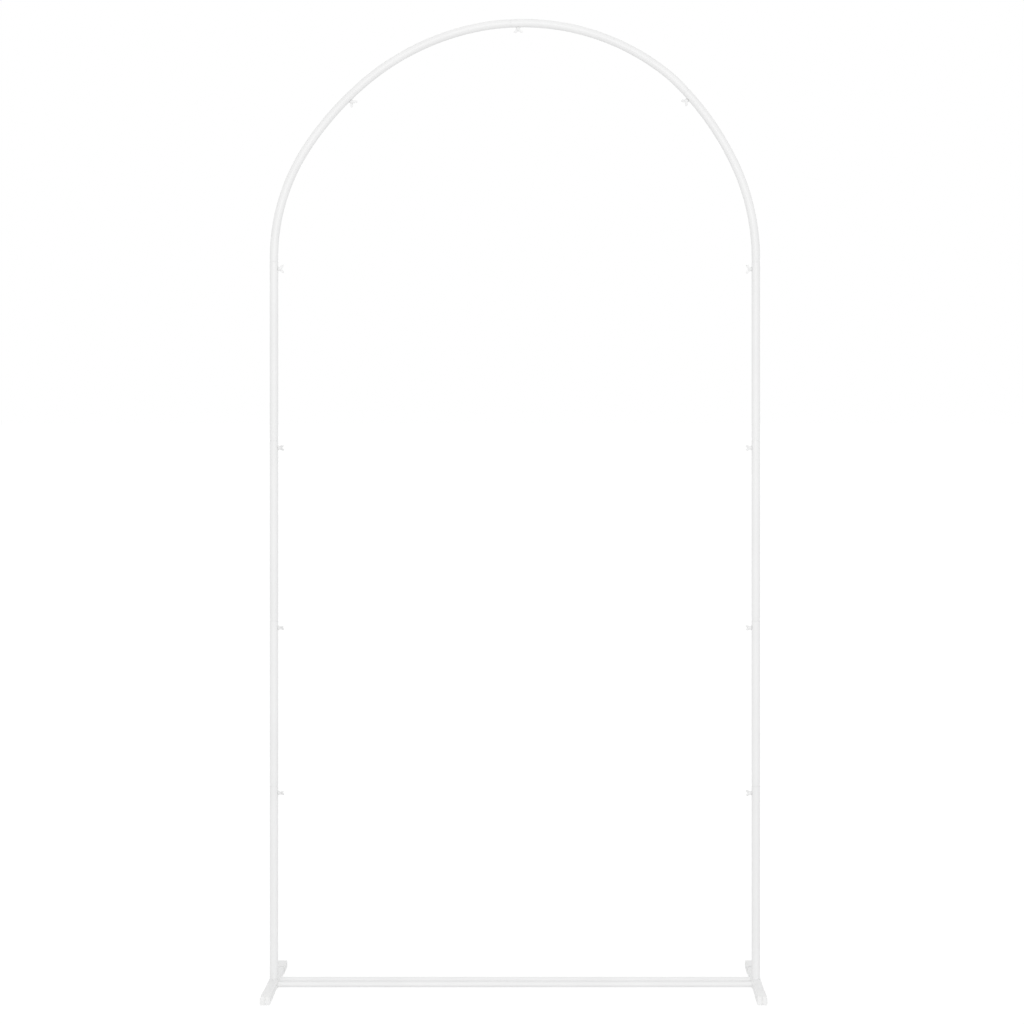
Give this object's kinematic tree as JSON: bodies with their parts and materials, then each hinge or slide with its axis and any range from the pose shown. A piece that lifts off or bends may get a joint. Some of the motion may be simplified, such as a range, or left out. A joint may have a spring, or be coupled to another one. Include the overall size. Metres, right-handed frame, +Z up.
{
  "type": "wedding arch",
  "caption": "Free-standing round-topped arch of thin white tube sections joined by wing screws, on two front-to-back feet with twin floor bars.",
  "frame": {"origin": "on the floor, midway between the legs and midway along the feet", "axes": "+Z up, +X across the arch to the right as seen from the front, +Y to the back, so the front faces -Y"},
  "size_m": [1.0578, 0.34, 2.0792],
  "materials": {
    "painted_tube": "white powder coat on steel tube",
    "painted_screw": "white painted zinc wing screw",
    "end_cap": "white moulded plastic"
  },
  "bodies": {
    "root": {"arch_tube_left_lower": "painted_tube", "arch_tube_left_upper": "painted_tube", "arch_tube_right_lower": "painted_tube", "arch_tube_right_upper": "painted_tube", "left_leg_tube_1": "painted_tube", "left_leg_tube_2": "painted_tube", "left_leg_tube_3": "painted_tube", "left_leg_tube_4": "painted_tube", "right_leg_tube_1": "painted_tube", "right_leg_tube_2": "painted_tube", "right_leg_tube_3": "painted_tube", "right_leg_tube_4": "painted_tube", "left_foot_peg": "painted_tube", "left_foot_tube": "painted_tube", "right_foot_peg": "painted_tube", "right_foot_tube": "painted_tube", "front_floor_bar": "painted_tube", "back_floor_bar": "painted_tube", "arch_wing_screw_1": "painted_screw", "arch_wing_screw_2": "painted_screw", "arch_wing_screw_3": "painted_screw", "left_wing_screw_1": "painted_screw", "left_wing_screw_2": "painted_screw", "left_wing_screw_3": "painted_screw", "left_wing_screw_4": "painted_screw", "right_wing_screw_1": "painted_screw", "right_wing_screw_2": "painted_screw", "right_wing_screw_3": "painted_screw", "right_wing_screw_4": "painted_screw", "left_front_foot_cap": "end_cap", "left_back_foot_cap": "end_cap", "right_front_foot_cap": "end_cap", "right_back_foot_cap": "end_cap"}
  },
  "joints": []
}
